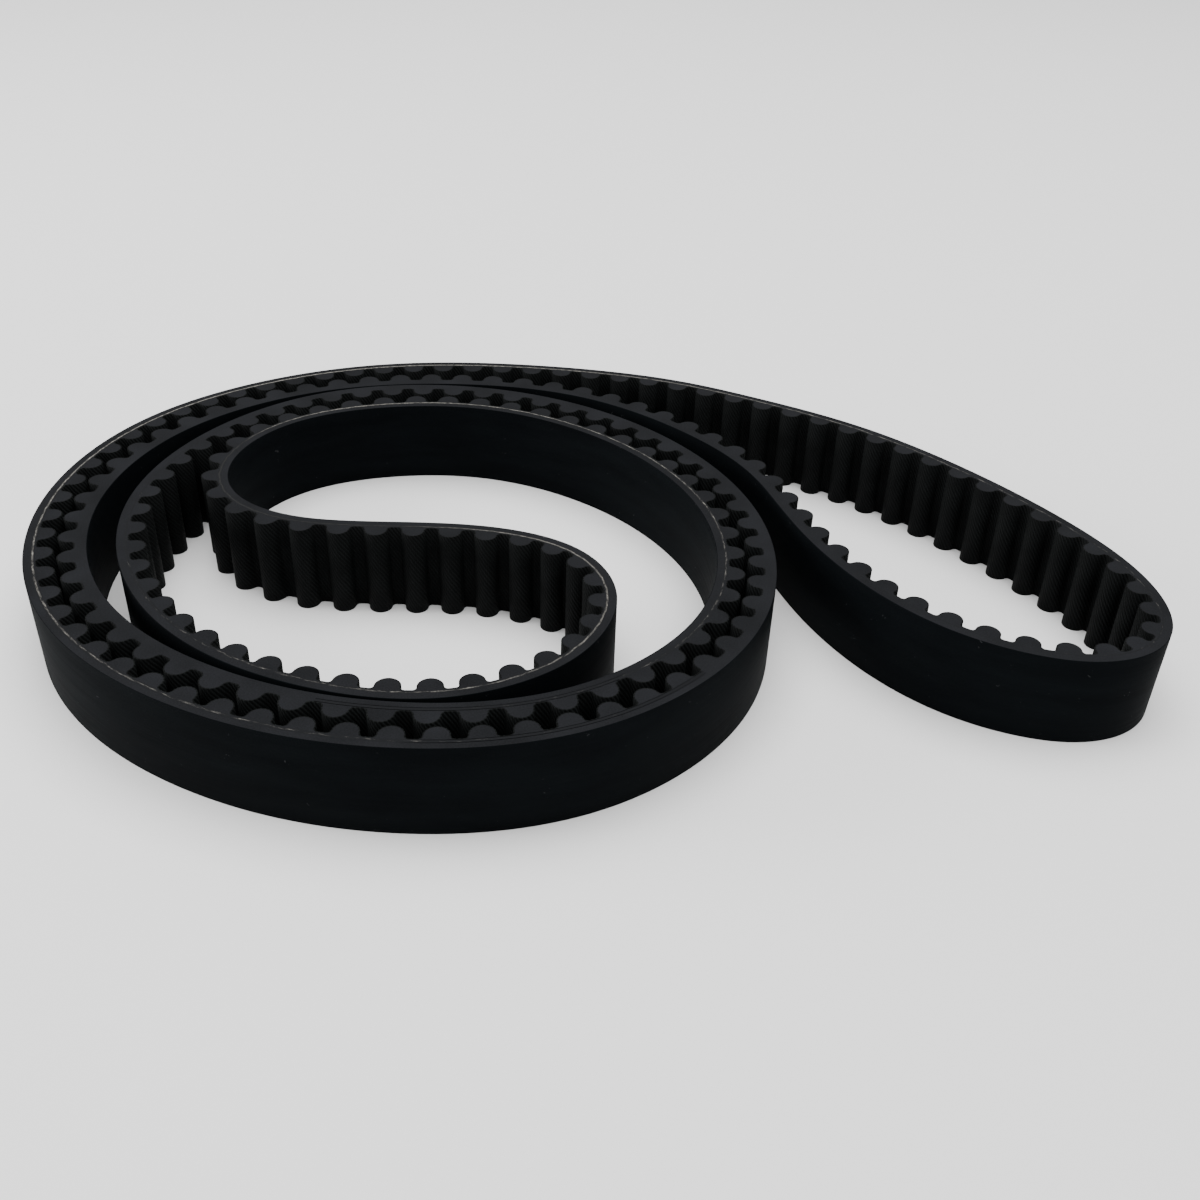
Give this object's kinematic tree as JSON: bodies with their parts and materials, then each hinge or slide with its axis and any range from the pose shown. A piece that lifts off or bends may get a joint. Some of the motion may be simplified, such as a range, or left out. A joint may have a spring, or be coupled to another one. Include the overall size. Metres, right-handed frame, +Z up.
{
  "type": "timing belt",
  "caption": "Endless round-tooth rubber timing belt, rolled up loosely in two strands and standing on its edge.",
  "frame": {"origin": "middle of the rolled belt's plan box, on the edge face that it stands on", "axes": "+Z up across the belt's width, +X along the longer side of the plan towards the large end loop, +Y away from the viewer"},
  "size_m": [0.2382, 0.1592, 0.02],
  "materials": {
    "backing_rubber": "ground black chloroprene, satin",
    "cord_s": "S-twisted glass cord, cut ends pale grey",
    "cord_z": "Z-twisted glass cord, cut ends pale grey",
    "tooth_rubber": "cut black chloroprene, matt",
    "nylon_facing": "black nylon twill, rubbed with rubber, low sheen"
  },
  "bodies": {
    "root": {"backing": "backing_rubber", "cord_s_twist": "cord_s", "cord_z_twist": "cord_z", "tooth_rubber": "tooth_rubber", "tooth_facing": "nylon_facing"}
  },
  "joints": []
}
